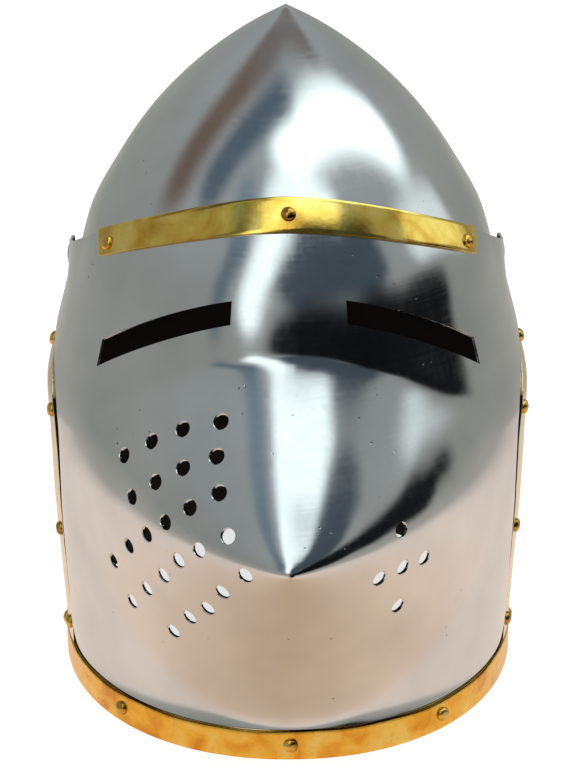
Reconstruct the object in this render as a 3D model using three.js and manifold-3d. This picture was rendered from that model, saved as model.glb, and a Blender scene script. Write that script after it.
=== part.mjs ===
import * as THREE from 'three';
import { mergeVertices } from 'three/addons/utils/BufferGeometryUtils.js';
import Module from 'manifold-3d';

const wasm = await Module();
wasm.setup();

// Sheet thicknesses and fits, in millimetres
const WALL = 1.2;
const BRASS = 1.0;
const SEAT = 0.3;
const VISOR_GAP = 1.0;

// The skull's axis stands behind the middle of the object by this much
const AXIS_Y = 23.6;

// Skull sections from the rim to the point, measured from the skull's axis
const SECTION_POWER = 2.1;
const SKULL = [
  { z: 0, halfWidth: 98.8, front: 119.5, back: 119.5 },
  { z: 14, halfWidth: 98.8, front: 119.5, back: 119.5 },
  { z: 45, halfWidth: 100.6, front: 119.0, back: 120.0 },
  { z: 90, halfWidth: 103.6, front: 117.5, back: 119.5 },
  { z: 125, halfWidth: 104.3, front: 114.3, back: 117.7 },
  { z: 150, halfWidth: 98.6, front: 110.3, back: 115.7 },
  { z: 175, halfWidth: 91.8, front: 104.8, back: 112.2 },
  { z: 200, halfWidth: 85.2, front: 95.5, back: 105.5 },
  { z: 220, halfWidth: 74.2, front: 82.8, back: 95.4 },
  { z: 240, halfWidth: 60.6, front: 64.7, back: 80.7 },
  { z: 256, halfWidth: 46.1, front: 45.9, back: 64.9 },
  { z: 270, halfWidth: 29.9, front: 24.3, back: 47.3 },
  { z: 281, halfWidth: 14.0, front: 3.5, back: 30.1 },
  { z: 289, halfWidth: 0, front: -15, back: 15 },
];
const APEX_Z = 289;
const SKULL_COLUMNS = 40;
const SKULL_ROWS = [0, 14, 30, 72, 106, 130, 152, 176, 198, 215, 231, 245, 258, 270, 280, 289];

// Face opening seen from the front, right half from the top down
const FACE_OPENING = [
  { x: 0, z: 208 },
  { x: 25, z: 206.5 },
  { x: 50, z: 199 },
  { x: 70, z: 186 },
  { x: 78, z: 175 },
  { x: 80, z: 162 },
  { x: 80, z: 60 },
  { x: 76, z: 43 },
  { x: 66, z: 34.5 },
  { x: 50, z: 31.5 },
];

// Snout of the visor
const TIP_Z = 109;
const CREASE_Z = 174.5;
const VISOR_BOTTOM = 15.5;
const SNOUT_REACH = 52;
const SNOUT_ANGLE = 60;
const SNOUT_ROUND = 1.5;
const SNOUT_UPPER = 1.12;
const SNOUT_LOWER = 1.25;
const FLARE = 1;
const FLARE_HEIGHT = 7;

// Visor top edge and eye slits: the height falls with the angle from the middle
const TOP_Z = 231.1;
const TOP_FALL = 0.0138;
const TOP_POWER = 1.8;
const SLIT_Z = 193.5;
const SLIT_FALL = 0.017;
const SLIT_POWER = 1.9;
const SLIT_FROM = 14;
const SLIT_TO = 52.5;
const SLIT_HALF_INNER = 4.4;
const SLIT_HALF_OUTER = 5.6;

// Visor pivots
const PIVOT_Y = 28;
const PIVOT_Z = 172;
const ARM_RADIUS = 8.5;
const ARM_FLAT = 11.5;
const ARM_X = 95;
const ARM_REACH = 58;
const ARM_EASE = 1;
const PIN_RADIUS = 2.2;
const PIN_HEAD = 5;
const PIN_SEAT = 0.5;

// Rear and lower edge of the visor seen from the side, from the snout's underside to the arm
const VISOR_SIDE = [
  { y: -250, z: 15.5 },
  { y: -118, z: 15.5 },
  { y: -104, z: 15.9 },
  { y: -88, z: 16.6 },
  { y: -70, z: 17.4 },
  { y: -58, z: 18.3 },
  { y: -51.5, z: 20.2 },
  { y: -47.8, z: 23.6 },
  { y: -46.3, z: 29 },
  { y: -47.5, z: 50 },
  { y: -49, z: 80 },
  { y: -49.2, z: 105 },
  { y: -48.5, z: 118 },
  { y: -46.8, z: 127 },
  { y: -42.8, z: 133 },
  { y: -36, z: 138 },
  { y: -24, z: 144.5 },
  { y: -5, z: 151 },
  { y: 12, z: 155.6 },
];

// Breath holes: angle from the middle and height
const HOLE_RADIUS = 3.2;
const HOLES = [
  { angle: -38.5, z: 131 },
  { angle: -31.5, z: 140 },
  { angle: -24, z: 147.5 },
  { angle: -15, z: 153 },
  { angle: -36, z: 117.5 },
  { angle: -29.5, z: 127.5 },
  { angle: -23, z: 135.5 },
  { angle: -15.5, z: 142 },
  { angle: -43, z: 80.5 },
  { angle: -37.5, z: 94 },
  { angle: -32, z: 105 },
  { angle: -27, z: 114.5 },
  { angle: -21, z: 123.5 },
  { angle: -14.5, z: 131 },
  { angle: -38, z: 64.5 },
  { angle: -33, z: 76.5 },
  { angle: -28, z: 88.5 },
  { angle: -24, z: 100 },
  { angle: -19, z: 109 },
  { angle: -12.5, z: 118 },
  { angle: -26.5, z: 59 },
  { angle: -22, z: 71 },
  { angle: -17.5, z: 80 },
  { angle: -14, z: 92 },
  { angle: -9, z: 104.5 },
  { angle: 23.5, z: 113.5 },
  { angle: 18.5, z: 95 },
  { angle: 24.2, z: 95.6 },
  { angle: 29.8, z: 95 },
  { angle: 23.5, z: 75.5 },
];

// Brass strips
const BAND_FROM = 0;
const BAND_TO = 13.3;
const BROW_HEIGHT = 11.5;
const BROW_ANGLE_TOP = 66;
const BROW_ANGLE_BOTTOM = 61;
const TRIM_WIDTH = 15;
const TRIM_PATH = [
  { angle: 73.6, z: 15 },
  { angle: 73.2, z: 45 },
  { angle: 72.2, z: 80 },
  { angle: 72.1, z: 106 },
  { angle: 73.2, z: 119 },
  { angle: 75.6, z: 127 },
  { angle: 79.4, z: 133.6 },
  { angle: 83.6, z: 138.2 },
  { angle: 87.8, z: 141.4 },
  { angle: 92, z: 144 },
];

// Rivets: angle from the middle and height
const RIVET_RADIUS = 3.1;
const RIVET_HEIGHT = 1.9;
const SHANK_RADIUS = 1.5;
const HOLE_PLAY = 0.3;
const BAND_RIVET_Z = 6.8;
const BAND_RIVET_ANGLES = [0, 39.5, 90, 135, 180, 225, 270, 315];
const TRIM_RIVETS = [
  { angle: 89.6, z: 142.4 },
  { angle: 73.9, z: 123 },
  { angle: 72.5, z: 69 },
  { angle: 73.5, z: 23 },
];
const BROW_RIVETS = [
  { angle: 0, z: 225.4 },
  { angle: 58.5, z: 203.2 },
  { angle: -58.5, z: 203.2 },
];

// Smooth curve through one column of the section table
function column(rows, key) {
  const n = rows.length;
  const step = [];
  const rise = [];
  for (let i = 0; i < n - 1; i += 1) {
    step.push(rows[i + 1].z - rows[i].z);
    rise.push((rows[i + 1][key] - rows[i][key]) / step[i]);
  }
  const slope = [rise[0]];
  for (let i = 1; i < n - 1; i += 1) {
    const a = 2 * step[i] + step[i - 1];
    const b = step[i] + 2 * step[i - 1];
    const turns = rise[i - 1] * rise[i] <= 0;
    slope.push(turns ? 0 : (a + b) / (a / rise[i - 1] + b / rise[i]));
  }
  slope.push(rise[n - 2]);
  return (z) => {
    let i = 0;
    while (i < n - 2 && z > rows[i + 1].z) i += 1;
    const h = step[i];
    const u = (z - rows[i].z) / h;
    const v = 1 - u;
    const start = rows[i][key] * (1 + 2 * u) * v * v + slope[i] * h * u * v * v;
    const end = rows[i + 1][key] * (3 - 2 * u) * u * u - slope[i + 1] * h * u * u * v;
    return start + end;
  };
}

const halfWidthAt = column(SKULL, 'halfWidth');
const frontAt = column(SKULL, 'front');
const backAt = column(SKULL, 'back');
const radians = THREE.MathUtils.degToRad;

function signedPower(value, power) {
  return Math.sign(value) * Math.abs(value) ** power;
}

// Point of the skull's outer surface; angle 0 is the front and positive angles go to the wearer's left
function skullPoint(angle, z) {
  const a = radians(angle);
  const front = frontAt(z);
  const back = backAt(z);
  const x = halfWidthAt(z) * signedPower(Math.sin(a), 2 / SECTION_POWER);
  const y = (back - front) / 2 - ((back + front) / 2) * signedPower(Math.cos(a), 2 / SECTION_POWER);
  return new THREE.Vector3(x, y, z);
}

// Outward normal of a surface given by angle and height
function normalOf(surface, angle, z) {
  if (z > APEX_Z - 0.01) return new THREE.Vector3(0, 0, 1);
  const turn = 0.4;
  const up = Math.min(0.4, (APEX_Z - z) / 2);
  const around = surface(angle + turn, z).sub(surface(angle - turn, z));
  const along = surface(angle, z + up).sub(surface(angle, z - up));
  return around.cross(along).normalize();
}

function lift(surface, distance) {
  return (angle, z) => surface(angle, z).addScaledVector(normalOf(surface, angle, z), distance);
}

// How far the snout stands out in front of the skull's own curve
function snout(angle, z) {
  const rise = z - TIP_Z;
  const span = rise > 0 ? CREASE_Z - TIP_Z : TIP_Z - VISOR_BOTTOM;
  const upDown = (Math.abs(rise) / span) ** SNOUT_ROUND;
  const aside = (Math.abs(angle) / SNOUT_ANGLE) ** SNOUT_ROUND;
  const out = Math.max(0, 1 - (upDown + aside) ** (1 / SNOUT_ROUND));
  return SNOUT_REACH * out ** (rise > 0 ? SNOUT_UPPER : SNOUT_LOWER);
}

const skullCover = lift(skullPoint, VISOR_GAP + WALL);

// How far an arm stands out from the skull's own curve, so that it is flat where it turns about its pin
function armOut(point) {
  const away = Math.hypot(point.y - PIVOT_Y, point.z - PIVOT_Z);
  const near = 1 - THREE.MathUtils.smoothstep(away, ARM_FLAT, ARM_REACH);
  const short = ARM_X - Math.abs(point.x);
  return (near * (short + Math.hypot(short, ARM_EASE))) / 2;
}

function visorPoint(angle, z) {
  const point = skullCover(angle, z);
  const flare = FLARE * Math.max(0, 1 - (z - VISOR_BOTTOM) / FLARE_HEIGHT);
  point.x += Math.sign(point.x) * armOut(point);
  point.y -= snout(angle, z) + flare;
  return point;
}

function topEdge(angle) {
  return TOP_Z - TOP_FALL * Math.abs(angle) ** TOP_POWER;
}

function crease(angle) {
  const aside = (Math.abs(angle) / SNOUT_ANGLE) ** SNOUT_ROUND;
  const height = (CREASE_Z - TIP_Z) * Math.max(0, 1 - aside) ** (1 / SNOUT_ROUND);
  return TIP_Z + Math.max(18, height);
}

function slitLine(angle) {
  return SLIT_Z - SLIT_FALL * Math.abs(angle) ** SLIT_POWER;
}

// Solids
function solid(geometry) {
  const bare = new THREE.BufferGeometry();
  bare.setAttribute('position', geometry.getAttribute('position'));
  bare.setIndex(geometry.getIndex());
  const merged = mergeVertices(bare, 1e-4);
  const index = merged.getIndex().array;
  const kept = [];
  for (let i = 0; i < index.length; i += 3) {
    const [a, b, c] = [index[i], index[i + 1], index[i + 2]];
    if (a !== b && b !== c && c !== a) kept.push(a, b, c);
  }
  const mesh = new wasm.Mesh({
    numProp: 3,
    vertProperties: new Float32Array(merged.getAttribute('position').array),
    triVerts: new Uint32Array(kept),
  });
  return new wasm.Manifold(mesh);
}

// Closed sheet between an outer and an inner grid of points
function sheet(outer, inner, wraps) {
  const rows = outer.length;
  const columns = outer[0].length;
  const positions = [];
  for (const grid of [outer, inner]) {
    for (const row of grid) {
      for (const point of row) positions.push(point.x, point.y, point.z);
    }
  }
  const index = [];
  const at = (side, r, c) => (side * rows + r) * columns + (c % columns);
  const quad = (a, b, c, d) => index.push(a, b, c, a, c, d);
  const spans = wraps ? columns : columns - 1;
  for (let r = 0; r < rows - 1; r += 1) {
    for (let c = 0; c < spans; c += 1) {
      quad(at(0, r, c), at(0, r, c + 1), at(0, r + 1, c + 1), at(0, r + 1, c));
      quad(at(1, r, c), at(1, r + 1, c), at(1, r + 1, c + 1), at(1, r, c + 1));
    }
  }
  const last = rows - 1;
  for (let c = 0; c < spans; c += 1) {
    quad(at(0, 0, c + 1), at(0, 0, c), at(1, 0, c), at(1, 0, c + 1));
    quad(at(0, last, c), at(0, last, c + 1), at(1, last, c + 1), at(1, last, c));
  }
  for (let r = 0; r < last && !wraps; r += 1) {
    quad(at(0, r, 0), at(0, r + 1, 0), at(1, r + 1, 0), at(1, r, 0));
    quad(at(0, r + 1, spans), at(0, r, spans), at(1, r, spans), at(1, r + 1, spans));
  }
  const geometry = new THREE.BufferGeometry();
  geometry.setAttribute('position', new THREE.Float32BufferAttribute(positions, 3));
  geometry.setIndex(index);
  return geometry;
}

// Grid of points of a surface, one list of [angle, height] pairs per row
function grid(surface, rows) {
  return rows.map((row) => row.map(([angle, z]) => surface(angle, z)));
}

function sheetOn(surface, rows, low, high, wraps = false) {
  return solid(sheet(grid(lift(surface, high), rows), grid(lift(surface, low), rows), wraps));
}

// Prism along the direction given by the third axis, from a flat outline
function prism(outline, axes, from, depth) {
  const shape = new THREE.Shape(outline);
  const geometry = new THREE.ExtrudeGeometry(shape, { depth, bevelEnabled: false });
  geometry.translate(0, 0, from);
  geometry.applyMatrix4(new THREE.Matrix4().makeBasis(...axes));
  return solid(geometry);
}

// Round drill standing on a surface point
function drill(point, direction, radius, length, sides) {
  const geometry = new THREE.CylinderGeometry(radius, radius, length, sides);
  const turn = new THREE.Quaternion().setFromUnitVectors(new THREE.Vector3(0, 1, 0), direction);
  geometry.applyQuaternion(turn);
  geometry.translate(point.x, point.y, point.z);
  return solid(geometry);
}

function drillOn(surface, place, radius, sides, length = 14) {
  const normal = normalOf(surface, place.angle, place.z);
  return drill(surface(place.angle, place.z), normal, radius, length, sides);
}

const X = new THREE.Vector3(1, 0, 0);
const Y = new THREE.Vector3(0, 1, 0);
const Z = new THREE.Vector3(0, 0, 1);

function spread(from, to, count) {
  const values = [];
  for (let i = 0; i <= count; i += 1) values.push(from + ((to - from) * i) / count);
  return values;
}

const shankHole = SHANK_RADIUS + HOLE_PLAY;
const bandRivets = BAND_RIVET_ANGLES.map((angle) => ({ angle, z: BAND_RIVET_Z }));
const trimRivets = [];
for (const side of [1, -1]) {
  for (const { angle, z } of TRIM_RIVETS) trimRivets.push({ angle: side * angle, z, side });
}
const skullRivets = [...bandRivets, ...trimRivets];
const skullDrills = skullRivets.map((place) => drillOn(skullPoint, place, shankHole, 6));
const pinDrill = drill(new THREE.Vector3(0, PIVOT_Y, PIVOT_Z), X, PIN_RADIUS + HOLE_PLAY, 260, 10);

// Skull: pointed bowl with the face opening cut from the front
const skullAngles = spread(0, 360, SKULL_COLUMNS).slice(0, SKULL_COLUMNS);
const skullRows = SKULL_ROWS.map((z) => skullAngles.map((angle) => [angle, z]));
const bowl = sheetOn(skullPoint, skullRows, -WALL, 0, true);
const openingRight = FACE_OPENING.map(({ x, z }) => new THREE.Vector2(x, z));
const openingLeft = FACE_OPENING.slice(1).reverse().map(({ x, z }) => new THREE.Vector2(-x, z));
const openingOutline = [...openingRight, ...openingLeft];
const faceCut = prism(openingOutline, [X, Z, Y.clone().negate()], 20, 160);
const skullSolid = wasm.Manifold.difference([bowl, faceCut, pinDrill, ...skullDrills]);

// Visor: sheet over the skull's front, cut to its side outline, then slits and holes
const visorAngles = [];
for (const angle of [...spread(0, 66, 13), 74, 83, 93, 105, 118]) {
  visorAngles.push(angle);
  if (angle > 0) visorAngles.unshift(-angle);
}
const lowSteps = [0, 0.08, 0.2, 0.33, 0.46, 0.595, 0.7, 0.8, 0.9, 1];
const highSteps = spread(0, 1, 6).slice(1);
const visorRows = [];
for (const u of lowSteps) {
  visorRows.push(visorAngles.map((angle) => [angle, 13 + (crease(angle) - 13) * u]));
}
for (const u of highSteps) {
  const top = (angle) => Math.max(topEdge(angle), 198) + 4;
  visorRows.push(visorAngles.map((angle) => [angle, crease(angle) + (top(angle) - crease(angle)) * u]));
}
const visorSheet = sheetOn(visorPoint, visorRows, -WALL, 0);
const sideOutline = VISOR_SIDE.map(({ y, z }) => new THREE.Vector2(y, z));
for (const turn of spread(-95, 100, 9)) {
  const a = radians(turn);
  const y = PIVOT_Y + ARM_RADIUS * Math.cos(a);
  sideOutline.push(new THREE.Vector2(y, PIVOT_Z + ARM_RADIUS * Math.sin(a)));
}
for (const angle of spread(86, 0, 12)) {
  sideOutline.push(new THREE.Vector2(visorPoint(angle, topEdge(angle)).y, topEdge(angle)));
}
sideOutline.push(new THREE.Vector2(-250, TOP_Z));
const sideCut = prism(sideOutline, [Y, Z, X], -140, 280);
const slits = [];
for (const side of [1, -1]) {
  const half = (angle) => {
    const u = (Math.abs(angle) - SLIT_FROM) / (SLIT_TO - SLIT_FROM);
    return SLIT_HALF_INNER + (SLIT_HALF_OUTER - SLIT_HALF_INNER) * u;
  };
  const angles = side > 0 ? spread(SLIT_FROM, SLIT_TO, 8) : spread(-SLIT_TO, -SLIT_FROM, 8);
  const rows = [-1, 1].map((s) => angles.map((angle) => [angle, slitLine(angle) + s * half(angle)]));
  slits.push(sheetOn(visorPoint, rows, -5, 5));
}
const breathHoles = HOLES.map((place) => drillOn(visorPoint, place, HOLE_RADIUS, 8));
const browDrills = BROW_RIVETS.map((place) => drillOn(visorPoint, place, shankHole, 6));
const visorBody = wasm.Manifold.intersection(visorSheet, sideCut);
const visorCuts = [...slits, ...breathHoles, ...browDrills, pinDrill];
const visorSolid = wasm.Manifold.difference([visorBody, ...visorCuts]);

// Brass strips
const bandRows = [BAND_FROM, BAND_TO].map((z) => skullAngles.map((angle) => [angle, z]));
const bandRing = sheetOn(skullPoint, bandRows, SEAT, SEAT + BRASS, true);
const bandDrills = bandRivets.map((place) => drillOn(skullPoint, place, shankHole, 6));
const bandSolid = wasm.Manifold.difference([bandRing, ...bandDrills]);

const browRows = [0, 1].map((u) => {
  const reach = BROW_ANGLE_BOTTOM + (BROW_ANGLE_TOP - BROW_ANGLE_BOTTOM) * u;
  return spread(-reach, reach, 20).map((angle) => [angle, topEdge(angle) - BROW_HEIGHT * (1 - u)]);
});
const browSheet = sheetOn(visorPoint, browRows, SEAT, SEAT + BRASS);
const browSolid = wasm.Manifold.difference([browSheet, ...browDrills]);

// Side trim: a strip of even width along its path on the skull
function trimStrip(side) {
  const rows = [[], [], []];
  TRIM_PATH.forEach((place, i) => {
    const before = TRIM_PATH[Math.max(0, i - 1)];
    const after = TRIM_PATH[Math.min(TRIM_PATH.length - 1, i + 1)];
    const perDegree = 1.95;
    const run = new THREE.Vector2((after.angle - before.angle) * perDegree, after.z - before.z).normalize();
    if (i === 0) run.set(0, 1);
    [-1, 0, 1].forEach((s, k) => {
      const angle = place.angle - (s * TRIM_WIDTH * run.y) / 2 / perDegree;
      const z = place.z + (s * TRIM_WIDTH * run.x) / 2;
      rows[k].push([side * angle, z]);
    });
  });
  if (side > 0) rows.reverse();
  const turned = rows[0].map((_, i) => rows.map((row) => row[i]));
  turned.forEach((row) => row.sort((a, b) => a[0] - b[0]));
  const strip = sheetOn(skullPoint, turned, SEAT, SEAT + BRASS);
  const drills = trimRivets.filter((place) => place.side === side);
  return wasm.Manifold.difference([strip, ...drills.map((p) => drillOn(skullPoint, p, shankHole, 6))]);
}

// Rivet: domed head and plain shank, standing on its surface
function rivet(surface, place, tail) {
  const under = SEAT + BRASS + SEAT;
  const profile = [
    new THREE.Vector2(0, -tail),
    new THREE.Vector2(SHANK_RADIUS, -tail),
    new THREE.Vector2(SHANK_RADIUS, 0),
    new THREE.Vector2(RIVET_RADIUS, 0),
    new THREE.Vector2(RIVET_RADIUS * 0.82, RIVET_HEIGHT * 0.6),
    new THREE.Vector2(0, RIVET_HEIGHT),
  ];
  const geometry = new THREE.LatheGeometry(profile, 8);
  const normal = normalOf(surface, place.angle, place.z);
  geometry.applyQuaternion(new THREE.Quaternion().setFromUnitVectors(Y, normal));
  const foot = surface(place.angle, place.z).addScaledVector(normal, under);
  geometry.translate(foot.x, foot.y, foot.z);
  return solid(geometry);
}

// Pivot pin: domed head following the visor's arm, plain shank into the skull
function pivotPin(side) {
  const face = [92, 98, 104, 110, 116];
  const rows = [152, 160, 168, 176, 184, 192].map((z) => {
    return face.map((angle) => [side * angle, z]).sort((a, b) => a[0] - b[0]);
  });
  const arm = sheetOn(visorPoint, rows, -9, PIN_SEAT);
  const place = visorPoint(side * 105.4, PIVOT_Z).x * side;
  const profile = [
    new THREE.Vector2(0, place - 3.5),
    new THREE.Vector2(PIN_HEAD, place - 3.5),
    new THREE.Vector2(PIN_HEAD, place + 0.9),
    new THREE.Vector2(PIN_HEAD * 0.8, place + 1.5),
    new THREE.Vector2(0, place + 1.9),
  ];
  const shank = [
    new THREE.Vector2(0, place - 11),
    new THREE.Vector2(PIN_RADIUS, place - 11),
    new THREE.Vector2(PIN_RADIUS, place + 1),
    new THREE.Vector2(0, place + 1),
  ];
  const toSide = new THREE.Quaternion().setFromUnitVectors(Y, X.clone().multiplyScalar(side));
  const turned = [profile, shank].map((points) => {
    const geometry = new THREE.LatheGeometry(points, 10);
    geometry.applyQuaternion(toSide);
    geometry.translate(0, PIVOT_Y, PIVOT_Z);
    return solid(geometry);
  });
  const head = wasm.Manifold.difference(turned[0], arm);
  return wasm.Manifold.union(head, turned[1]);
}

const part = new THREE.Group();
part.name = 'pig_faced_bascinet';

function add(name, manifold, slot) {
  const mesh = manifold.getMesh();
  const geometry = new THREE.BufferGeometry();
  const positions = new Float32Array(mesh.numVert * 3);
  for (let i = 0; i < mesh.numVert; i += 1) {
    for (let k = 0; k < 3; k += 1) positions[3 * i + k] = mesh.vertProperties[mesh.numProp * i + k];
  }
  geometry.setAttribute('position', new THREE.BufferAttribute(positions, 3));
  geometry.setIndex(new THREE.BufferAttribute(new Uint32Array(mesh.triVerts), 1));
  geometry.translate(0, AXIS_Y, 0);
  geometry.computeVertexNormals();
  const steel = slot === 'steel';
  const material = new THREE.MeshStandardMaterial({
    name: slot,
    color: steel ? 0xb9bab8 : 0xc79a4b,
    metalness: 1,
    roughness: steel ? 0.28 : 0.32,
  });
  const node = new THREE.Mesh(geometry, material);
  node.name = name;
  part.add(node);
}

add('skull', skullSolid, 'steel');
add('visor', visorSolid, 'steel');
add('brow_strip', browSolid, 'brass');
add('base_band', bandSolid, 'brass');
add('side_trim_left', trimStrip(1), 'brass');
add('side_trim_right', trimStrip(-1), 'brass');
bandRivets.forEach((place, i) => add(`band_rivet_${i + 1}`, rivet(skullPoint, place, 4.2), 'brass'));
trimRivets.forEach((place, i) => {
  const side = place.side > 0 ? 'left' : 'right';
  add(`trim_rivet_${side}_${(i % TRIM_RIVETS.length) + 1}`, rivet(skullPoint, place, 4.2), 'brass');
});
BROW_RIVETS.forEach((place, i) => add(`brow_rivet_${i + 1}`, rivet(visorPoint, place, 3.0), 'brass'));
add('pivot_rivet_left', pivotPin(1), 'steel');
add('pivot_rivet_right', pivotPin(-1), 'steel');

export default part;
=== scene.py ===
import math

import bpy
import numpy as np
from mathutils import Matrix, Vector


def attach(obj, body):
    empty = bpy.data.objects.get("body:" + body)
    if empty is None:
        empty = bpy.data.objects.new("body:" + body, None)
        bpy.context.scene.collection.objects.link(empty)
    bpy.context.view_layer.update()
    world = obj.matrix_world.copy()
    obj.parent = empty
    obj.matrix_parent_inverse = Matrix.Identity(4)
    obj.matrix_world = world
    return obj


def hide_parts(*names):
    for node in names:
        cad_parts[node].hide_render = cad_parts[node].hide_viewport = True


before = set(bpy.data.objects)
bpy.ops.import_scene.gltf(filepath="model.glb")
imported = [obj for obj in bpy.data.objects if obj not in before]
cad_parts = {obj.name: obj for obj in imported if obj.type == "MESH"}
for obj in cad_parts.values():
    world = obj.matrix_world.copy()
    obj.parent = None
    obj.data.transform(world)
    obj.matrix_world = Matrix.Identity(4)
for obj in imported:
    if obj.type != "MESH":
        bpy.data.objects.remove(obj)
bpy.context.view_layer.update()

# Sizes in millimetres, measured from the skull's axis at the rim; the axis stands behind the origin
MM = 0.001
AXIS_Y = 23.6
APEX_Z = 289.0
SECTION_POWER = 2.1

# Plate thickness, the visor's outer face above the skull, a strip's outer and inner face above its plate
WALL = 1.2
COVER = 2.2
STRIP = 1.3
SEAT = 0.05

# Skull sections: height, half width, front, back
SKULL = np.array([
    (0, 98.8, 119.5, 119.5),
    (14, 98.8, 119.5, 119.5),
    (45, 100.6, 119.0, 120.0),
    (90, 103.6, 117.5, 119.5),
    (125, 104.3, 114.3, 117.7),
    (150, 98.6, 110.3, 115.7),
    (175, 91.8, 104.8, 112.2),
    (200, 85.2, 95.5, 105.5),
    (220, 74.2, 82.8, 95.4),
    (240, 60.6, 64.7, 80.7),
    (256, 46.1, 45.9, 64.9),
    (270, 29.9, 24.3, 47.3),
    (281, 14.0, 3.5, 30.1),
    (289, 0.0, -15.0, 15.0),
])

# Power that spaces the skull's rows, closer together near the point
ROW_POWER = 1.25

# Face opening seen from the front, right half: x, z
FACE_OPENING = [(0, 208), (25, 206.5), (50, 199), (70, 186), (78, 175), (80, 162),
                (80, 60), (76, 43), (66, 34.5), (50, 31.5), (0, 31.5)]
FACE_CUT_Y = -20.0
FACE_CUT_LENGTH = 160.0

# Snout: heights, reach, half angle and the powers of its curves
TIP_Z = 109.0
CREASE_Z = 174.5
VISOR_BOTTOM = 15.5
SNOUT_REACH = 52.0
SNOUT_ANGLE = 60.0
SNOUT_ROUND = 1.5
SNOUT_UPPER = 1.12
SNOUT_LOWER = 1.25
FLARE = 1.0
FLARE_HEIGHT = 7.0
CREASE_LEAST = 18.0

# How softly the snout turns over: between its halves, at the tip, along the ridge and at its foot
HALVES_SOFT = 4.0
HALVES_SPREAD = 0.35
TIP_SOFT = 2.5
TIP_SPREAD = 0.3
RIDGE_SOFT = 3.0
FOOT_SOFT = 0.0012

# Visor edge seen from the side, from under the snout to the pivot arm: y, z
VISOR_SIDE = [(-250, 15.5), (-118, 15.5), (-104, 15.9), (-88, 16.6), (-70, 17.4), (-58, 18.3),
              (-51.5, 20.2), (-47.8, 23.6), (-46.3, 29), (-47.5, 50), (-49, 80), (-49.2, 105),
              (-48.5, 118), (-46.8, 127), (-42.8, 133), (-36, 138), (-24, 144.5), (-5, 151),
              (12, 155.6)]

# Cut to that edge: half its length, where its brow starts and the turn of the arm's round end in degrees
SIDE_CUT_HALF = 140.0
BROW_START = 86.0
ARM_TURNS = (-95, 100)

# Pivot, and the flat arm round it
PIVOT_Y = 28.0
PIVOT_Z = 172.0
PIVOT_ANGLE = 105.4
ARM_RADIUS = 8.5
ARM_FLAT = 11.5
ARM_X = 95.0
ARM_REACH = 58.0
DRILL_LENGTH = 260.0

# Visor grid: share of the columns and the angle on the face, angle on the arms, share of the rows below
# the crease, lowest row, least height of the top row, and what stands over to be cut off
FACE_SHARE = 0.8
FACE_ANGLE = 66.0
ARMS_ANGLE = 52.0
LOWER_SHARE = 0.62
GRID_BOTTOM = 13.0
GRID_TOP = 198.0
GRID_SPARE = 4.0

# Breath holes: radius, length of the bit and its middle from the plate's face, the countersink as
# rises and widenings, then angle from the middle and height of each hole
HOLE_RADIUS = 3.2
BIT_LENGTH = 6.0
BIT_MIDDLE = -3.3
COUNTERSINK = ((0.35, 1.12), (4.0, 1.35))
HOLES = [(-38.5, 131), (-31.5, 140), (-24, 147.5), (-15, 153), (-36, 117.5), (-29.5, 127.5),
         (-23, 135.5), (-15.5, 142), (-43, 80.5), (-37.5, 94), (-32, 105), (-27, 114.5),
         (-21, 123.5), (-14.5, 131), (-38, 64.5), (-33, 76.5), (-28, 88.5), (-24, 100),
         (-19, 109), (-12.5, 118), (-26.5, 59), (-22, 71), (-17.5, 80), (-14, 92), (-9, 104.5),
         (23.5, 113.5), (18.5, 95), (24.2, 95.6), (29.8, 95), (23.5, 75.5)]

# Shallow dents left by the hammer on the visor: angle from the middle, height, radius and
# depth, which is negative where the plate stands out
DENTS = [(21, 133, 8, 0.35), (27, 126, 6, 0.4), (31, 133, 7, 0.35), (35, 124, 7, 0.4),
         (16, 119, 7, 0.3), (12, 146, 9, -0.3), (-20, 150, 12, 0.3), (-33, 112, 12, 0.25),
         (40, 140, 10, -0.3), (8, 190, 14, 0.25)]

# Eye slits: height in the middle, fall to the sides, first angle, angle covered, half height, widening,
# and how far the cutter reaches on each side of the plate's face
SLIT_Z = 193.5
SLIT_FALL = 0.017
SLIT_POWER = 1.9
SLIT_FROM = 14.0
SLIT_SPAN = 38.5
SLIT_HALF = 4.4
SLIT_WIDEN = 1.2
SLIT_CUT = 5.0

# Painted shade on the skull in the gap beside the visor's edges and under its bottom edge: from and to in
# degrees from the middle, bottom, top under the chin and top at the sides
BORDER_FROM = 66.0
BORDER_TO = 74.0
BORDER_BOTTOM = 13.0
BORDER_CHIN = 22.0
BORDER_TOP = 142.0

# Brass strips: the band's top edge wanders a little, as cut by hand, and the brow strip's ends slant
BAND_TOP = 13.3
BAND_WAVE = 0.25
BAND_RIPPLE = 0.2
BROW_TOP = 231.1
BROW_FALL = 0.0138
BROW_POWER = 1.8
BROW_REACH = 61.0
BROW_SLANT = 5.0
BROW_HEIGHT = 11.5
EDGE_ROUND = 0.28

# Side strips: width, what is cut off beside the visor, millimetres to a degree, and the middle line
# as angle and height
TRIM_WIDTH = 15.0
TRIM_GAP = 2.5
DEGREE = 1.95
TRIM_PATH = [(73.6, 15), (73.2, 45), (72.2, 80), (72.1, 106), (73.2, 119), (75.6, 127),
             (79.4, 133.6), (83.6, 138.2), (87.8, 141.4), (92, 144)]

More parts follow.
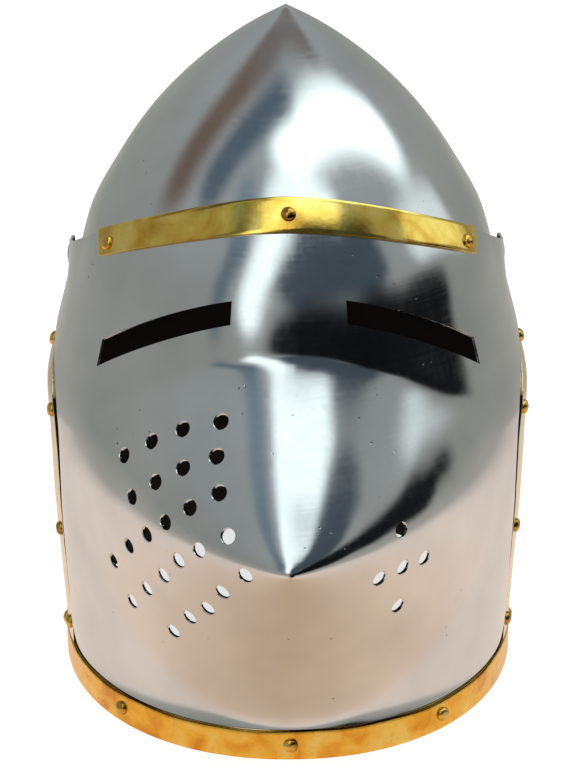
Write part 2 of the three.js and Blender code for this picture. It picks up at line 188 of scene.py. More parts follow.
# Rivets and pins: sizes, then angle from the middle and height of each rivet
RIVET_RADIUS = 3.1
RIVET_HEIGHT = 1.9
RIVET_SHANK = 1.5
RIVET_LONG = 3.8
RIVET_SHORT = 2.5
RIVET_LIFT = 0.2
RIVET_TURN = 0.7
LIP_HEIGHT = 0.25
LIP_TAPER = 0.985
PIN_RADIUS = 5.0
PIN_HEIGHT = 1.3
PIN_SHANK = 2.2
PIN_LENGTH = 10.0
PIN_LIFT = 0.6
PIN_HOLE = 2.5
BAND_RIVETS = [(angle, 6.8) for angle in (0, 39.5, 90, 135, 180, 225, 270, 315)]
TRIM_RIVETS = [(89.6, 142.4), (73.9, 123), (72.5, 69), (73.5, 23)]
BROW_RIVETS = [(0, 225.4), (58.5, 203.2), (-58.5, 203.2)]

# Hammer waves: height, spacing
SKULL_WAVES = (0.36, 55)
VISOR_WAVES = (0.42, 45)
STRIP_WAVES = (0.25, 14)
RIVET_WAVES = (0.5, 2.2)

# Step in degrees and millimetres over which a surface's normal is taken
NORMAL_STEP = 0.4


# The helmet's surfaces
def column(key):
    z, v = SKULL[:, 0], SKULL[:, key]
    h = np.diff(z)
    rise = np.diff(v) / h
    slope = np.zeros(len(z))
    slope[0], slope[-1] = rise[0], rise[-1]
    for i in range(1, len(z) - 1):
        if rise[i - 1] * rise[i] > 0:
            a, b = 2 * h[i] + h[i - 1], h[i] + 2 * h[i - 1]
            slope[i] = (a + b) / (a / rise[i - 1] + b / rise[i])

    def at(q):
        i = np.clip(np.searchsorted(z, q) - 1, 0, len(z) - 2)
        u = (q - z[i]) / h[i]
        w = 1 - u
        start = v[i] * (1 + 2 * u) * w * w + slope[i] * h[i] * u * w * w
        return start + v[i + 1] * (3 - 2 * u) * u * u - slope[i + 1] * h[i] * u * u * w
    return at


half_width, front_of, back_of = column(1), column(2), column(3)


def signed_power(value, power):
    return np.sign(value) * np.abs(value) ** power


def skull_point(angle, z):
    a = np.radians(angle)
    f, b = front_of(z), back_of(z)
    x = half_width(z) * signed_power(np.sin(a), 2 / SECTION_POWER)
    y = (b - f) / 2 - (b + f) / 2 * signed_power(np.cos(a), 2 / SECTION_POWER)
    return np.stack([x, y, z + 0 * a], -1)


def normal_of(surface, angle, z):
    up = np.minimum(NORMAL_STEP, (APEX_Z - z) / 2 + 1e-4)
    around = surface(angle + NORMAL_STEP, z) - surface(angle - NORMAL_STEP, z)
    along = surface(angle, z + up) - surface(angle, z - up)
    n = np.cross(around, along)
    return n / np.linalg.norm(n, axis=-1, keepdims=True)


def lifted(surface, angle, z, distance):
    return surface(angle, z) + distance * normal_of(surface, angle, z)


def rounded(value, power, soft):
    return (value * value + soft * soft) ** (power / 2) - soft ** power


def snout(angle, z):
    rise = z - TIP_Z
    above = 0.5 + 0.5 * np.tanh(rise / (HALVES_SOFT + HALVES_SPREAD * np.abs(angle)))
    span = (TIP_Z - VISOR_BOTTOM) + (CREASE_Z - TIP_Z - TIP_Z + VISOR_BOTTOM) * above
    soft = TIP_SOFT + TIP_SPREAD * np.abs(angle)
    up_down = rounded(rise, SNOUT_ROUND, soft) / span ** SNOUT_ROUND
    aside = rounded(angle, SNOUT_ROUND, RIDGE_SOFT) / SNOUT_ANGLE ** SNOUT_ROUND
    out = 1 - (up_down + aside) ** (1 / SNOUT_ROUND)
    out = (out + np.sqrt(out * out + FOOT_SOFT)) / 2
    return SNOUT_REACH * out ** (SNOUT_LOWER + (SNOUT_UPPER - SNOUT_LOWER) * above)


# An arm is flat where it turns about its pin, so it stands off the skull there
def arm_out(p):
    away = np.hypot(p[..., 1] - PIVOT_Y, p[..., 2] - PIVOT_Z)
    away = np.clip((away - ARM_FLAT) / (ARM_REACH - ARM_FLAT), 0, 1)
    short = ARM_X - np.abs(p[..., 0])
    return (1 - away * away * (3 - 2 * away)) * (short + np.hypot(short, 1)) / 2


def visor_point(angle, z):
    p = lifted(skull_point, angle, z, COVER)
    p[..., 0] += np.sign(p[..., 0]) * arm_out(p)
    flare = FLARE * np.clip(1 - (z - VISOR_BOTTOM) / FLARE_HEIGHT, 0, None) ** 2
    p[..., 1] -= snout(angle, z) + flare
    for at, height, radius, depth in DENTS:
        off = ((angle - at) * 2) ** 2 + (z - height) ** 2
        p[..., 1] += depth * np.exp(-off / radius ** 2)
    return p


def top_edge(angle):
    return BROW_TOP - BROW_FALL * np.abs(angle) ** BROW_POWER


def crease(angle):
    aside = (np.abs(angle) / SNOUT_ANGLE) ** SNOUT_ROUND
    above = (CREASE_Z - TIP_Z) * np.clip(1 - aside, 0, None) ** (1 / SNOUT_ROUND)
    return TIP_Z + np.maximum(CREASE_LEAST, above)


def slit_line(angle):
    return SLIT_Z - SLIT_FALL * np.abs(angle) ** SLIT_POWER


# Modelling helpers
def deselect():
    bpy.ops.object.select_all(action="DESELECT")


def points_of(piece):
    co = np.zeros(len(piece.data.vertices) * 3)
    piece.data.vertices.foreach_get("co", co)
    return co.reshape(-1, 3)


def set_points(piece, points):
    piece.data.vertices.foreach_set("co", ((points + np.array((0, AXIS_Y, 0))) * MM).ravel())
    piece.data.update()


def apply(piece, kind, **settings):
    bpy.context.view_layer.objects.active = piece
    modifier = piece.modifiers.new(kind.lower(), kind)
    for key, value in settings.items():
        setattr(modifier, key, value)
    bpy.ops.object.modifier_apply(modifier=modifier.name)


def cut(piece, cutter, operation="DIFFERENCE"):
    apply(piece, "BOOLEAN", operation=operation, object=cutter, solver="EXACT")
    bpy.data.objects.remove(cutter)


def grid_on(name, columns, rows, shape):
    deselect()
    bpy.ops.mesh.primitive_grid_add(x_subdivisions=columns, y_subdivisions=rows, size=2)
    piece = bpy.context.object
    piece.name = name
    flat = points_of(piece)
    set_points(piece, shape((flat[:, 0] + 1) / 2, (flat[:, 1] + 1) / 2))
    return piece


def smooth_corners(points, rounds=3):
    p = np.array(points, float)
    for _ in range(rounds):
        a, b = p[:-1], p[1:]
        mid = np.stack([0.75 * a + 0.25 * b, 0.25 * a + 0.75 * b], 1).reshape(-1, 2)
        p = np.vstack([p[:1], mid, p[-1:]])
    return p


def prism(name, outline, along):
    deselect()
    bpy.ops.mesh.primitive_circle_add(vertices=len(outline), radius=1, fill_type="NGON")
    cutter = bpy.context.object
    cutter.name = name
    set_points(cutter, outline)
    bpy.ops.object.mode_set(mode="EDIT")
    bpy.ops.mesh.select_all(action="SELECT")
    move = {"value": [v * MM for v in along]}
    bpy.ops.mesh.extrude_region_move(TRANSFORM_OT_translate=move)
    bpy.ops.mesh.select_all(action="SELECT")
    bpy.ops.mesh.normals_make_consistent(inside=False)
    bpy.ops.object.mode_set(mode="OBJECT")
    return cutter


def copy_to(source, name, matrix):
    piece = source.copy()
    piece.data = source.data.copy()
    piece.name = name
    piece.data.name = name
    piece.data.transform(matrix)
    bpy.context.scene.collection.objects.link(piece)
    return piece


def joined(pieces, name):
    deselect()
    for piece in pieces:
        piece.select_set(True)
    bpy.context.view_layer.objects.active = pieces[0]
    bpy.ops.object.join()
    pieces[0].name = name
    return pieces[0]


def standing(point, normal, turn=0.0):
    up = Vector(normal).normalized().to_track_quat("Z", "Y").to_matrix().to_4x4()
    place = Vector(point) + Vector((0, AXIS_Y, 0))
    return Matrix.Translation(place * MM) @ up @ Matrix.Rotation(turn, 4, "Z")


def on_surface(surface, angle, z, above=0.0, turn=0.0):
    a, h = np.array([float(angle)]), np.array([float(z)])
    n = normal_of(surface, a, h)[0]
    return standing(surface(a, h)[0] + above * n, n, turn)


def shade(piece, angle=35):
    deselect()
    piece.select_set(True)
    bpy.context.view_layer.objects.active = piece
    bpy.ops.object.shade_smooth_by_angle(angle=math.radians(angle))


def dress(piece, node, body, slot, *materials):
    for material in materials:
        piece.data.materials.append(material)
    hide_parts(node)
    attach(piece, body)


# Materials
def colour(code):
    value = [int(code[i:i + 2], 16) / 255 for i in (1, 3, 5)]
    return tuple(c / 12.92 if c <= 0.04045 else ((c + 0.055) / 1.055) ** 2.4 for c in value) + (1.0,)


def add(tree, kind, settings=None, stops=(), **links):
    node = tree.nodes.new(kind)
    for key, value in (settings or {}).items():
        if isinstance(key, int) or key in node.inputs:
            node.inputs[key].default_value = value
        else:
            setattr(node, key, value)
    for i, (place, code) in enumerate(stops):
        band = node.color_ramp.elements
        stop = band[i] if i < len(band) else band.new(place)
        stop.position = place
        stop.color = colour(code)
    for key, source in links.items():
        tree.links.new(source, node.inputs[int(key[1:]) if key[1:].isdigit() else key])
    return node


def new_material(name):
    material = bpy.data.materials.new(name)
    material.use_nodes = True
    tree = material.node_tree
    return material, tree, tree.nodes["Principled BSDF"]


# Mild steel plate, hammered to shape and belt polished: bright, with level streaks and a few pits.
# The lines of the belt are too fine to show, so the streaks are drawn coarser than the real ones
def polished_steel():
    material, tree, shader = new_material("polished_mild_steel")
    place = add(tree, "ShaderNodeTexCoord").outputs["Object"]
    cloud = add(tree, "ShaderNodeTexNoise", {"Scale": 1 / (45 * MM), "Detail": 3.0}, Vector=place)
    level = {"Scale": (1 / (33 * MM), 1 / (33 * MM), 1 / (1.1 * MM))}
    level_map = add(tree, "ShaderNodeMapping", level, Vector=place).outputs["Vector"]
    streak = add(tree, "ShaderNodeTexNoise", {"Scale": 1.0, "Detail": 4.0}, Vector=level_map)
    upright = {"Scale": (1 / (2.4 * MM), 1 / (2.4 * MM), 1 / (70 * MM))}
    upright_map = add(tree, "ShaderNodeMapping", upright, Vector=place).outputs["Vector"]
    rub = add(tree, "ShaderNodeTexNoise", {"Scale": 1.0, "Detail": 3.0}, Vector=upright_map)
    cell = add(tree, "ShaderNodeTexVoronoi", {"Scale": 1 / (6 * MM)}, Vector=place)
    rust = add(tree, "ShaderNodeTexNoise", {"Scale": 1 / (38 * MM), "Detail": 2.0}, Vector=place)
    near = add(tree, "ShaderNodeMapRange", {1: 0.10, 2: 0.03}, Value=cell.outputs["Distance"])
    where = add(tree, "ShaderNodeMapRange", {1: 0.56, 2: 0.66}, Value=rust.outputs["Fac"])
    pit = add(tree, "ShaderNodeMath", {"operation": "MULTIPLY"},
              i0=near.outputs["Result"], i1=where.outputs["Result"])
    stops = [(0.3, "#C2C3C4"), (0.7, "#D2D3D3")]
    tone = add(tree, "ShaderNodeValToRGB", None, stops, Fac=cloud.outputs["Fac"])
    mix = add(tree, "ShaderNodeMix", {"data_type": "RGBA", 7: colour("#4A4038")},
              i0=pit.outputs["Value"], i6=tone.outputs["Color"])
    tree.links.new(mix.outputs[2], shader.inputs["Base Color"])
    polish = add(tree, "ShaderNodeMath", {"operation": "ADD"},
                 i0=streak.outputs["Fac"], i1=rub.outputs["Fac"])
    rough = add(tree, "ShaderNodeMapRange", {1: 0.7, 2: 1.3, 3: 0.09, 4: 0.16}, Value=polish.outputs["Value"])
    tree.links.new(rough.outputs["Result"], shader.inputs["Roughness"])
    fine = add(tree, "ShaderNodeBump", {"Strength": 0.03, "Distance": 0.2 * MM},
               Height=polish.outputs["Value"])
    dent = add(tree, "ShaderNodeBump", {"Strength": 0.5, "Distance": 0.2 * MM, "invert": True},
               Height=pit.outputs["Value"], Normal=fine.outputs["Normal"])
    tree.links.new(dent.outputs["Normal"], shader.inputs["Normal"])
    shader.inputs["Metallic"].default_value = 1.0
    return material


# The same plate inside, left dark from the fire and unpolished; the same dark steel is also painted as shade
# on the skull beside the visor's edges and on the trims' front edges
def black_steel_and_shade():
    material, tree, shader = new_material("fire_blackened_steel_and_painted_shade")
    place = add(tree, "ShaderNodeTexCoord").outputs["Object"]
    cloud = add(tree, "ShaderNodeTexNoise", {"Scale": 1 / (17 * MM), "Detail": 5.0}, Vector=place)
    stops = [(0.3, "#0B0A0A"), (0.7, "#15130F")]
    tone = add(tree, "ShaderNodeValToRGB", None, stops, Fac=cloud.outputs["Fac"])
    tree.links.new(tone.outputs["Color"], shader.inputs["Base Color"])
    rough = add(tree, "ShaderNodeMapRange", {1: 0.3, 2: 0.7, 3: 0.7, 4: 0.9}, Value=cloud.outputs["Fac"])
    tree.links.new(rough.outputs["Result"], shader.inputs["Roughness"])
    bump = add(tree, "ShaderNodeBump", {"Strength": 0.3, "Distance": 0.3 * MM}, Height=cloud.outputs["Fac"])
    tree.links.new(bump.outputs["Normal"], shader.inputs["Normal"])
    shader.inputs["Specular IOR Level"].default_value = 0.2
    return material


# Sheet brass, either bright from polishing or gone golden and mottled with handling
def sheet_brass(name, light, deep, patch, low, high):
    material, tree, shader = new_material(name)
    place = add(tree, "ShaderNodeTexCoord").outputs["Object"]
    mottle = {"Scale": 1 / (14 * MM), "Detail": 4.0, "Distortion": 0.6}
    cloud = add(tree, "ShaderNodeTexNoise", mottle, Vector=place)
    speck = add(tree, "ShaderNodeTexNoise", {"Scale": 1 / (2.4 * MM), "Detail": 3.0}, Vector=place)
    stops = [(0.34, deep), (0.52, light), (0.68, patch)]
    tone = add(tree, "ShaderNodeValToRGB", None, stops, Fac=cloud.outputs["Fac"])
    dull = add(tree, "ShaderNodeMapRange", {1: 0.55, 2: 0.75, 3: 0.0, 4: 0.35}, Value=speck.outputs["Fac"])
    mix = add(tree, "ShaderNodeMix", {"data_type": "RGBA", 7: colour(deep)}, i0=dull.outputs["Result"],
              i6=tone.outputs["Color"])
    tree.links.new(mix.outputs[2], shader.inputs["Base Color"])
    rough = add(tree, "ShaderNodeMapRange", {1: 0.35, 2: 0.65, 3: low, 4: high}, Value=cloud.outputs["Fac"])
    tree.links.new(rough.outputs["Result"], shader.inputs["Roughness"])
    bump = add(tree, "ShaderNodeBump", {"Strength": 0.12, "Distance": 0.2 * MM}, Height=speck.outputs["Fac"])
    tree.links.new(bump.outputs["Normal"], shader.inputs["Normal"])
    shader.inputs["Metallic"].default_value = 1.0
    return material


STEEL = polished_steel()
BLACK_STEEL_AND_SHADE = black_steel_and_shade()
BRIGHT_BRASS = sheet_brass("polished_sheet_brass", "#E3C25C", "#CFA040", "#EED27A", 0.08, 0.15)
BAND_BRASS = sheet_brass("handled_sheet_brass", "#EDB645", "#D08C2A", "#F3CE6A", 0.22, 0.34)
TRIM_BRASS = sheet_brass("pale_sheet_brass", "#E6D5AE", "#CDB684", "#F0E4C8", 0.2, 0.32)
RIVET_BRASS = sheet_brass("domed_rivet_brass", "#D8AC4C", "#8A6226", "#E6C672", 0.18, 0.3)


# Hammer waves: the plate isn't quite true, so its reflections wander
def hammered(piece, strength, size):
    texture = bpy.data.textures.new(piece.name + "_waves", "CLOUDS")
    texture.noise_scale = size * MM
    texture.noise_depth = 1
    apply(piece, "DISPLACE", texture=texture, strength=strength * MM, mid_level=0.5, texture_coords="LOCAL")


def pivot_drill():
    deselect()
    place = (0, (PIVOT_Y + AXIS_Y) * MM, PIVOT_Z * MM)
    bpy.ops.mesh.primitive_cylinder_add(vertices=32, radius=PIN_HOLE * MM, depth=DRILL_LENGTH * MM,
                                        location=place, rotation=(0, math.pi / 2, 0))
    drill = bpy.context.object
    bpy.ops.object.transform_apply(location=True, rotation=True, scale=True)
    return drill


# Skull: half a sphere drawn out to the pointed bowl
def make_skull():
    deselect()
    bpy.ops.mesh.primitive_uv_sphere_add(segments=192, ring_count=160, radius=1)
    piece = bpy.context.object
    piece.name = "skull_plate"
    bpy.ops.object.mode_set(mode="EDIT")
    bpy.ops.mesh.select_all(action="SELECT")
    bpy.ops.mesh.bisect(plane_co=(0, 0, 0), plane_no=(0, 0, 1), clear_inner=True)
    bpy.ops.object.mode_set(mode="OBJECT")
    ball = points_of(piece)
    rise = np.arcsin(np.clip(ball[:, 2], 0, 1)) / (math.pi / 2)
    z = APEX_Z * (1 - (1 - rise) ** ROW_POWER)
    set_points(piece, skull_point(np.degrees(np.arctan2(ball[:, 0], -ball[:, 1])), z))
    dress(piece, "skull", "skull", "steel", STEEL, BLACK_STEEL_AND_SHADE)
    hammered(piece, *SKULL_WAVES)
    apply(piece, "SOLIDIFY", thickness=WALL * MM, offset=-1, use_even_offset=True, material_offset=1)
    half = smooth_corners(FACE_OPENING)
    outline = np.vstack([half, half[-2:0:-1] * (-1, 1)])
    flat = np.stack([outline[:, 0], 0 * outline[:, 0] + FACE_CUT_Y, outline[:, 1]], -1)
    cut(piece, prism("face_cut", flat, (0, -FACE_CUT_LENGTH, 0)))
    cut(piece, pivot_drill())
    shade(piece)
    # Painted shade in the gap between the visor and the skull
    paint_gap_shade(piece)


# Painted shade: the strip of skull beside the visor's edges and under its bottom edge gets the dark steel, so
# that the gap between visor and skull shows as a shadow
def paint_gap_shade(piece):
    for face in piece.data.polygons:
        x, y, z = face.center / MM
        aside = min(1, abs(x) / half_width(z)) ** (SECTION_POWER / 2)
        angle = math.degrees(math.asin(aside)) if y < AXIS_Y else 180
        top = BORDER_TOP if angle > BORDER_FROM else BORDER_CHIN
        if BORDER_BOTTOM < z < top and angle < BORDER_TO:
            # Painted shade: the dark steel stands in for the shadow in the gap
            face.material_index = 1


# Breath hole cutter: a straight bit that widens to a countersink
def drill_bit():
    deselect()
    bpy.ops.mesh.primitive_cylinder_add(vertices=28, radius=HOLE_RADIUS * MM, depth=BIT_LENGTH * MM,
                                        location=(0, 0, BIT_MIDDLE * MM))
    bit = bpy.context.object
    bpy.ops.object.transform_apply(location=True)
    bpy.ops.object.mode_set(mode="EDIT")
    bpy.ops.mesh.select_mode(type="FACE")
    bpy.ops.mesh.select_all(action="DESELECT")
    bpy.ops.object.mode_set(mode="OBJECT")
    for face in bit.data.polygons:
        face.select = face.normal.z > 0.9
    bpy.ops.object.mode_set(mode="EDIT")
    for rise, size in COUNTERSINK:
        bpy.ops.mesh.extrude_region_move(TRANSFORM_OT_translate={"value": (0, 0, rise * MM)})
        bpy.ops.transform.resize(value=(size, size, 1))
    bpy.ops.object.mode_set(mode="OBJECT")
    return bit


def slit_cutter(side):
    def shape(u, v):
        along = u if side > 0 else 1 - u
        angle = side * (SLIT_FROM + SLIT_SPAN * along)
        half = SLIT_HALF + SLIT_WIDEN * along
        return lifted(visor_point, angle, slit_line(angle) + half * (2 * v - 1), SLIT_CUT)
    cutter = grid_on("slit_cut", 48, 6, shape)
    apply(cutter, "SOLIDIFY", thickness=2 * SLIT_CUT * MM, offset=-1)
    return cutter


# Visor: a grid laid over the skull's front, drawn out to the snout and cut to its outline
def make_visor():
    def shape(u, v):
        s = np.abs(2 * u - 1)
        behind = FACE_ANGLE + ARMS_ANGLE * (s - FACE_SHARE) / (1 - FACE_SHARE)
        angle = np.sign(u - 0.5) * np.where(s < FACE_SHARE, FACE_ANGLE * s / FACE_SHARE, behind)
        mid = crease(angle)
        top = np.maximum(top_edge(angle), GRID_TOP) + GRID_SPARE
        low = GRID_BOTTOM + (mid - GRID_BOTTOM) * v / LOWER_SHARE
        high = mid + (top - mid) * (v - LOWER_SHARE) / (1 - LOWER_SHARE)
        return visor_point(angle, np.where(v < LOWER_SHARE, low, high))
    piece = grid_on("visor_plate", 240, 150, shape)
    dress(piece, "visor", "visor", "steel", STEEL, BLACK_STEEL_AND_SHADE)
    hammered(piece, *VISOR_WAVES)
    apply(piece, "SOLIDIFY", thickness=WALL * MM, offset=-1, use_even_offset=True, material_offset=1)
    rear = smooth_corners(VISOR_SIDE[1:], 2)
    turns = np.radians(np.linspace(*ARM_TURNS, 28))
    arm = np.stack([PIVOT_Y + ARM_RADIUS * np.cos(turns), PIVOT_Z + ARM_RADIUS * np.sin(turns)], -1)
    angles = np.linspace(BROW_START, 0, 44)
    brow = np.stack([visor_point(angles, top_edge(angles))[:, 1], top_edge(angles)], -1)
    outline = np.vstack([VISOR_SIDE[:1], rear, arm, brow, [(VISOR_SIDE[0][0], BROW_TOP)]])
    flat = np.stack([0 * outline[:, 0] - SIDE_CUT_HALF, outline[:, 0], outline[:, 1]], -1)
    cut(piece, prism("side_cut", flat, (2 * SIDE_CUT_HALF, 0, 0)), "INTERSECT")
    bit = drill_bit()
    bits = [copy_to(bit, "bit", on_surface(visor_point, a, z)) for a, z in HOLES]
    bpy.data.objects.remove(bit)
    cut(piece, joined(bits, "bits"))
    for side in (1, -1):
        cut(piece, slit_cutter(side))
    cut(piece, pivot_drill())
    shade(piece)


# Brass strips: thin sheets laid on the plates, thickened and softened at the edges
def thicken(piece, thickness):
    apply(piece, "SOLIDIFY", thickness=thickness * MM, offset=1, use_even_offset=True)
    apply(piece, "BEVEL", width=EDGE_ROUND * MM, segments=2, limit_method="ANGLE",
          angle_limit=math.radians(50))
    shade(piece)


def make_brow():
    def shape(u, v):
        angle = (BROW_REACH + BROW_SLANT * v) * (2 * u - 1)
        return lifted(visor_point, angle, top_edge(angle) - BROW_HEIGHT * (1 - v), SEAT)
    piece = grid_on("brow_brass", 150, 8, shape)
    hammered(piece, *STRIP_WAVES)
    thicken(piece, STRIP - SEAT)
    dress(piece, "brow_strip", "visor", "brass", BRIGHT_BRASS)


def make_trim(side, node):
    path = smooth_corners(TRIM_PATH)
    steps = np.hypot(np.diff(path[:, 0]) * DEGREE, np.diff(path[:, 1]))
    run = np.concatenate([[0], np.cumsum(steps)])
    run /= run[-1]

    def shape(u, v):
        angle, z = np.interp(v, run, path[:, 0]), np.interp(v, run, path[:, 1])
        ahead = np.interp(v + 0.01, run, path[:, 0]) - np.interp(v - 0.01, run, path[:, 0])
        up = np.interp(v + 0.01, run, path[:, 1]) - np.interp(v - 0.01, run, path[:, 1])
        size = np.hypot(ahead * DEGREE, up)
        across = (u - 0.5) * (TRIM_WIDTH - TRIM_GAP) * side + TRIM_GAP / 2
        turned = side * (angle + across * up / size / DEGREE)
        return lifted(skull_point, turned, z - across * ahead * DEGREE / size, SEAT)
    piece = grid_on(node + "_brass", 10, 110, shape)
    hammered(piece, *STRIP_WAVES)
    thicken(piece, STRIP - SEAT)
    # The dark steel here serves only as painted shade on the front edge
    dress(piece, node, "skull", "brass", TRIM_BRASS, BLACK_STEEL_AND_SHADE)
    # Painted shade: the narrow front edge gets the dark steel, so that the gap beside the visor shows as a
    # shadow
    for face in piece.data.polygons:
        face.material_index = int(face.normal.y < -0.75)


def make_band():
    deselect()
    bpy.ops.mesh.primitive_cylinder_add(vertices=216, radius=1, depth=1, end_fill_type="NOTHING")
    piece = bpy.context.object
    piece.name = "base_band_brass"
    bpy.ops.object.mode_set(mode="EDIT")
    bpy.ops.mesh.select_mode(type="EDGE")
    bpy.ops.mesh.select_all(action="DESELECT")
    bpy.ops.object.mode_set(mode="OBJECT")
    for edge in piece.data.edges:
        a, b = (piece.data.vertices[i].co.z for i in edge.vertices)
        edge.select = abs(a - b) > 0.5
    bpy.ops.object.mode_set(mode="EDIT")
    bpy.ops.mesh.subdivide(number_cuts=7)
    bpy.ops.object.mode_set(mode="OBJECT")
    ring = points_of(piece)
    angle = np.degrees(np.arctan2(ring[:, 0], -ring[:, 1]))
    wave = BAND_WAVE * np.sin(np.radians(angle * 7)) + BAND_RIPPLE * np.sin(np.radians(angle * 17 + 40))
    up = ring[:, 2] + 0.5
    set_points(piece, lifted(skull_point, angle, up * (BAND_TOP + wave - BAND_WAVE), SEAT))
    thicken(piece, STRIP - SEAT)
    dress(piece, "base_band", "skull", "brass", BAND_BRASS)


# Rivet: half a sphere pressed flat, with a short lip and a plain shank
def rivet_blank(radius, height, shank, tail):
    deselect()
    bpy.ops.mesh.primitive_uv_sphere_add(segments=28, ring_count=16, radius=radius * MM)
    blank = bpy.context.object
    bpy.ops.object.mode_set(mode="EDIT")
    bpy.ops.mesh.select_all(action="SELECT")
    bpy.ops.mesh.bisect(plane_co=(0, 0, 0), plane_no=(0, 0, 1), clear_inner=True)
    bpy.ops.mesh.select_all(action="SELECT")
    bpy.ops.transform.resize(value=(1, 1, height / radius), center_override=(0, 0, 0))
    bpy.ops.mesh.select_mode(type="EDGE")
    bpy.ops.mesh.select_all(action="DESELECT")
    bpy.ops.mesh.select_non_manifold()
    size = shank / radius
    for drop, scale in ((LIP_HEIGHT, LIP_TAPER), (0.0, size / LIP_TAPER), (tail, 1.0)):
        bpy.ops.mesh.extrude_edges_move(TRANSFORM_OT_translate={"value": (0, 0, -drop * MM)})
        bpy.ops.transform.resize(value=(scale, scale, 1))
    bpy.ops.mesh.edge_face_add()
    bpy.ops.mesh.select_all(action="SELECT")
    bpy.ops.mesh.normals_make_consistent(inside=False)
    bpy.ops.object.mode_set(mode="OBJECT")
    return blank


def make_rivets():
    long_blank = rivet_blank(RIVET_RADIUS, RIVET_HEIGHT, RIVET_SHANK, RIVET_LONG)
    short_blank = rivet_blank(RIVET_RADIUS, RIVET_HEIGHT, RIVET_SHANK, RIVET_SHORT)
    rows = []
    for i, (a, z) in enumerate(BAND_RIVETS):
        rows.append((f"band_rivet_{i + 1}", "skull", skull_point, a, z, long_blank))
    for side, word in ((1, "left"), (-1, "right")):
        for i, (a, z) in enumerate(TRIM_RIVETS):
            rows.append((f"trim_rivet_{word}_{i + 1}", "skull", skull_point, side * a, z, long_blank))
    for i, (a, z) in enumerate(BROW_RIVETS):
        rows.append((f"brow_rivet_{i + 1}", "visor", visor_point, a, z, short_blank))
    for i, (node, body, surface, a, z, blank) in enumerate(rows):
        place = on_surface(surface, a, z, STRIP + RIVET_LIFT, i * RIVET_TURN)
        piece = copy_to(blank, node + "_dome", place)
        hammered(piece, *RIVET_WAVES)
        shade(piece, 50)
        dress(piece, node, body, "brass", RIVET_BRASS)
    bpy.data.objects.remove(long_blank)
    bpy.data.objects.remove(short_blank)


def make_pins():
    blank = rivet_blank(PIN_RADIUS, PIN_HEIGHT, PIN_SHANK, PIN_LENGTH)
    for side, word in ((1, "left"), (-1, "right")):
        arm = visor_point(np.array([side * PIVOT_ANGLE]), np.array([PIVOT_Z]))[0]
        place = standing((arm[0] + side * PIN_LIFT, PIVOT_Y, PIVOT_Z), (side, 0, 0))
        piece = copy_to(blank, f"pivot_{word}_pin", place)
        shade(piece, 50)
        dress(piece, f"pivot_rivet_{word}", "visor", "steel", STEEL)
    bpy.data.objects.remove(blank)


make_skull()
make_visor()
make_brow()
make_trim(1, "side_trim_left")
make_trim(-1, "side_trim_right")
make_band()
make_rivets()
make_pins()


# Stage: pale floor, and a wide dome of soft lights and cards that only the polish sees
# Walls of the dome from the ground up: elevation, colour as it shows in the steel
WALLS = [(-90, "#AC957C"), (-70, "#B29C86"), (-50, "#C0AB96"), (-36, "#C8B5A6"), (-28, "#C7B9AE"),
         (-22, "#C4B9B0"), (-16, "#93918B"), (0, "#7F817C"), (40, "#868B8B"), (90, "#8E9496")]
# Soft cards, placed in degrees off the zenith, to the right and to the back:
# one end, other end, half width, soft edge, colour, gain
CARDS = [
    (9, -49, 40, -33, 15, 8, "#39434A", 1.0),  # grey card, in front on the right
    (2, -80, 40, -70, 16, 8, "#0C0E10", 1.0),  # dark card below it
    (40, -70, 71, -41, 15, 8, "#0C0E10", 1.0),
    (72, -42, 86, 4, 11, 8, "#101214", 1.0),
    (60, 2, 65, 35, 7, 9, "#D2DCDC", 1.0),  # strip light on the right
    (-20, -18, -24, -34, 5, 8, "#64747E", 1.0),  # narrow dark card beside the front strip
    (-24, -34, -46, -54, 5, 8, "#56646C", 1.0),
    (-5, -34, -22, -60, 7, 8, "#EEFAFB", 1.1),  # strip light in front on the left
    (-5, -23, 19, -22, 6, 8, "#EAF8FA", 1.1),  # overhead soft box, front end
    (4, -8, 42, 22, 10, 11, "#F2FFFF", 1.25),  # overhead soft box
    (-36, -5, -4, 5, 7, 8, "#46545F", 1.0),  # dark card beside it
    (-48, 14, -14, 22, 9, 13, "#5F5249", 1.0),  # warm dark card behind it
    (-14, 22, 14, 25, 6, 10, "#66625F", 1.0),
]
# Share of the light that the steel gives back; radius of the dome and width of the floor in metres
STEEL_SHARE = 0.57
DOME_RADIUS = 3
FLOOR_SIZE = 40


def ramp_up(value):
    value = np.clip(value, 0, 1)
    return value * value * (3 - 2 * value)


def dome_colours(points):
    azimuth = np.degrees(np.arctan2(points[:, 0], -points[:, 1]))
    elevation = np.degrees(np.arcsin(np.clip(points[:, 2] / np.linalg.norm(points, axis=1), -1, 1)))
    levels = [row[0] for row in WALLS]
    walls = np.array([colour(row[1])[:3] for row in WALLS])
    shown = np.stack([np.interp(elevation, levels, walls[:, k]) for k in range(3)], -1)
    off = np.radians(azimuth)
    plan = np.stack([(90 - elevation) * np.sin(off), (elevation - 90) * np.cos(off)], -1)
    for x0, y0, x1, y1, half, soft, code, gain in CARDS:
        start, run = np.array([x0, y0]), np.array([x1 - x0, y1 - y0])
        along = np.clip((plan - start) @ run / (run @ run), 0, 1)
        away = np.linalg.norm(plan - start - along[:, None] * run, axis=1)
        weight = ramp_up((half - away) / soft + 0.5)
        shown += weight[:, None] * (np.array(colour(code)[:3]) * gain - shown)
    return shown / STEEL_SHARE


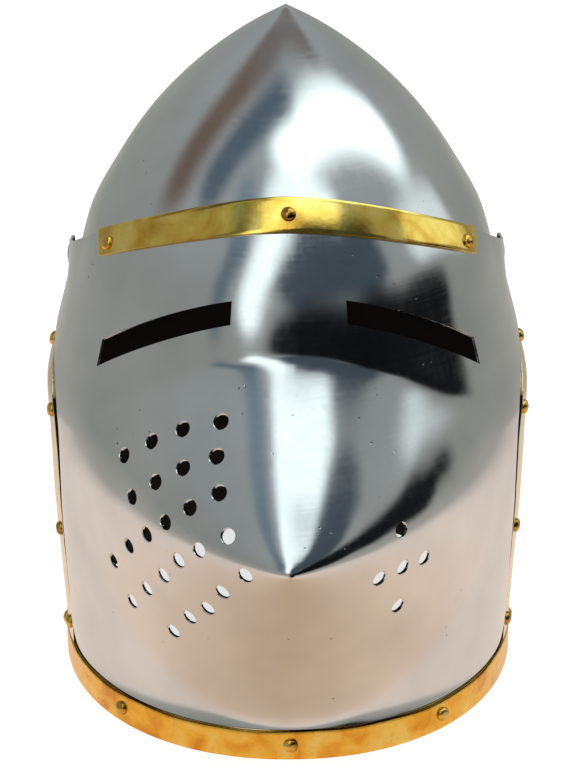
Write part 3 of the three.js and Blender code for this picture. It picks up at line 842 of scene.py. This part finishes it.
deselect()
bpy.ops.mesh.primitive_uv_sphere_add(segments=180, ring_count=90, radius=DOME_RADIUS, location=(0, 0, 0))
dome = bpy.context.object
dome.name = "studio_dome"
light = dome.data.color_attributes.new("light", "FLOAT_COLOR", "POINT")
tints = dome_colours(points_of(dome))
light.data.foreach_set("color", np.hstack([tints, np.ones((len(tints), 1))]).ravel())
dome_glow = bpy.data.materials.new("studio_glow")
dome_glow.use_nodes = True
dome_tree = dome_glow.node_tree
dome_tree.nodes.clear()
tint = add(dome_tree, "ShaderNodeAttribute", {"attribute_name": "light"})
glow = add(dome_tree, "ShaderNodeEmission", {}, Color=tint.outputs["Color"])
add(dome_tree, "ShaderNodeOutputMaterial", {}, Surface=glow.outputs["Emission"])
dome.data.materials.append(dome_glow)
dome.visible_camera = False
dome.visible_diffuse = False
dome.visible_shadow = False
dome.visible_transmission = False

deselect()
bpy.ops.mesh.primitive_plane_add(size=FLOOR_SIZE, location=(0, 0, 0))
floor = bpy.context.object
floor.name = "floor"
floor_paint, floor_tree, floor_shader = new_material("pale_floor")
floor_shader.inputs["Base Color"].default_value = colour("#B4B2AF")
floor_shader.inputs["Roughness"].default_value = 0.8
floor_shader.inputs["Emission Color"].default_value = colour("#FFFFFF")
floor_shader.inputs["Emission Strength"].default_value = 0.78
floor.data.materials.append(floor_paint)
floor.visible_glossy = False

world = bpy.data.worlds.new("studio")
world.use_nodes = True
world.node_tree.nodes["Background"].inputs["Color"].default_value = colour("#FFFFFF")
world.node_tree.nodes["Background"].inputs["Strength"].default_value = 0.9
bpy.context.scene.world = world
bpy.context.scene.view_settings.view_transform = "Standard"

# Camera matched to the photograph: degrees to the side, above level and of roll, distance and aim in metres,
# and the focal length in pixels of the picture's long side
CAMERA_TURN = -0.5
CAMERA_RISE = 27.0
CAMERA_ROLL = -0.15
CAMERA_DISTANCE = 1.35
CAMERA_AIM = Vector((0.0002, AXIS_Y * MM - 0.020, 0.1288))
FOCAL_PIXELS = 2945
LONG_SIDE = 768

camera = bpy.data.cameras.new("camera")
camera.lens = FOCAL_PIXELS * camera.sensor_width / LONG_SIDE
camera.clip_start = 0.01
eye = bpy.data.objects.new("camera", camera)
bpy.context.scene.collection.objects.link(eye)
turn, rise = math.radians(CAMERA_TURN), math.radians(CAMERA_RISE)
level, height = CAMERA_DISTANCE * math.cos(rise), CAMERA_DISTANCE * math.sin(rise)
eye.location = (level * math.sin(turn), AXIS_Y * MM - level * math.cos(turn), height)
roll = Matrix.Rotation(math.radians(CAMERA_ROLL), 3, "Z")
facing = (CAMERA_AIM - eye.location).to_track_quat("-Z", "Y").to_matrix()
eye.rotation_euler = (facing @ roll).to_euler()
bpy.context.scene.camera = eye
